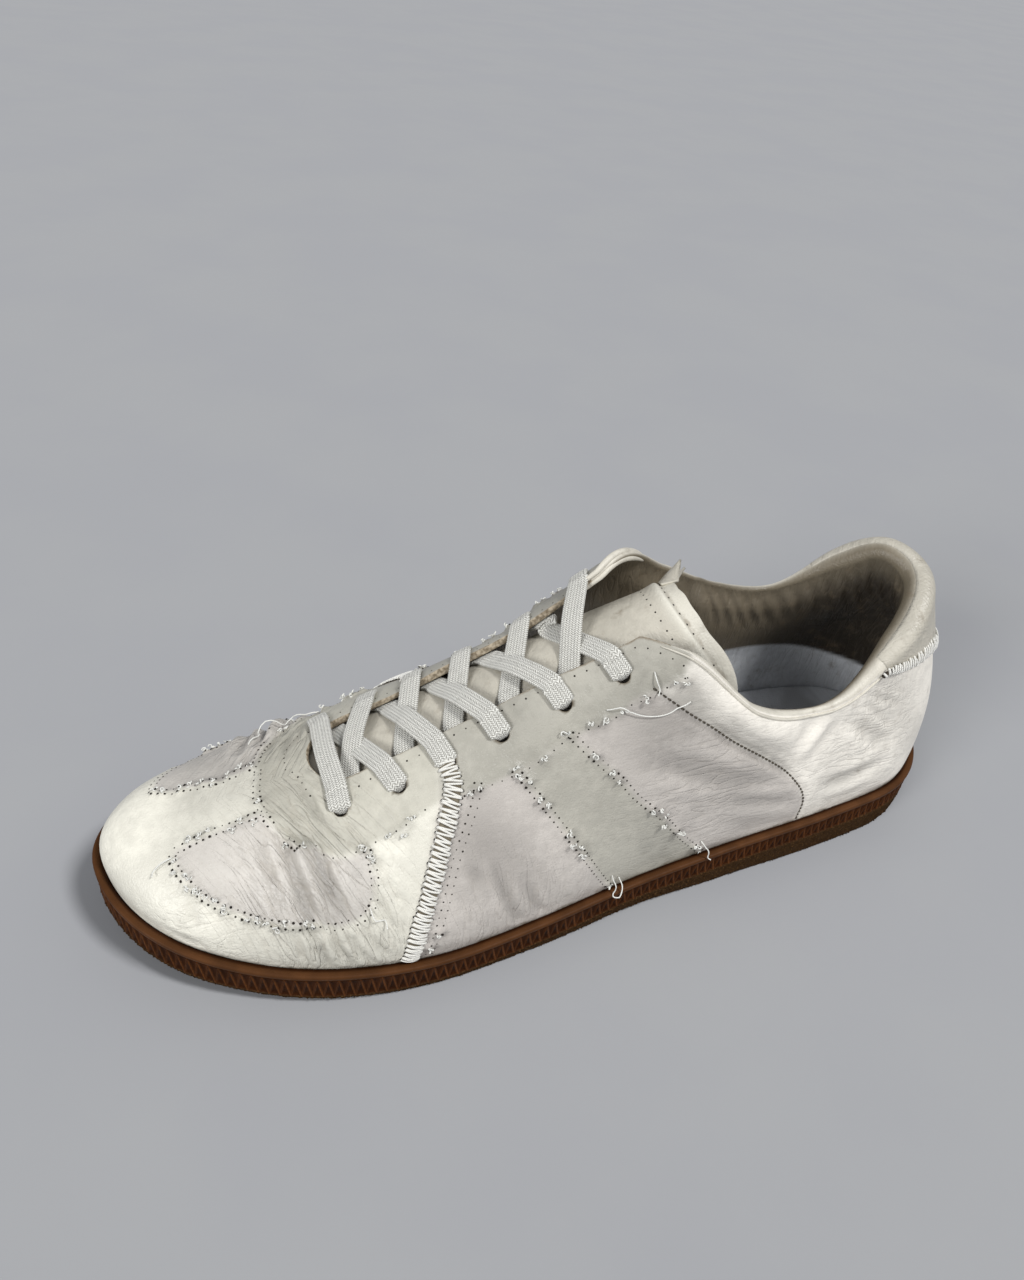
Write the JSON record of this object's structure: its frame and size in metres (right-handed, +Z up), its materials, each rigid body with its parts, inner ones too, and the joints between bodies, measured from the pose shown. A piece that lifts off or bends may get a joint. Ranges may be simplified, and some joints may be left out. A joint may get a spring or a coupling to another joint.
{
  "type": "sneaker",
  "caption": "Worn low leather sneaker for the left foot, with a hollow laced upper, tongue, insole and ribbed gum cup sole.",
  "frame": {"origin": "on the ground under the middle of the shoe's bounding box", "axes": "+X towards the toe, +Y towards the outer side of the left foot, +Z up"},
  "size_m": [0.2964, 0.1014, 0.1047],
  "materials": {
    "gum_rubber": "matte moulded gum rubber",
    "pale_leather": "worn off-white leather",
    "tongue_leather": "matte beige leather",
    "insole_board": "silver grey cloth",
    "seam_thread": "overcast cotton thread",
    "tab_leather": "worn cream leather",
    "lace_cotton": "flat woven cotton"
  },
  "bodies": {
    "root": {"sole": "gum_rubber", "upper": "pale_leather", "tongue": "tongue_leather", "insole": "insole_board", "vamp_seam_lateral": "seam_thread", "vamp_seam_medial": "seam_thread", "heel_tab": "tab_leather", "lace_bar_1": "lace_cotton", "lace_cross_2": "lace_cotton", "lace_cross_3": "lace_cotton", "lace_cross_4": "lace_cotton", "lace_cross_5": "lace_cotton", "lace_cross_6": "lace_cotton"}
  },
  "joints": []
}
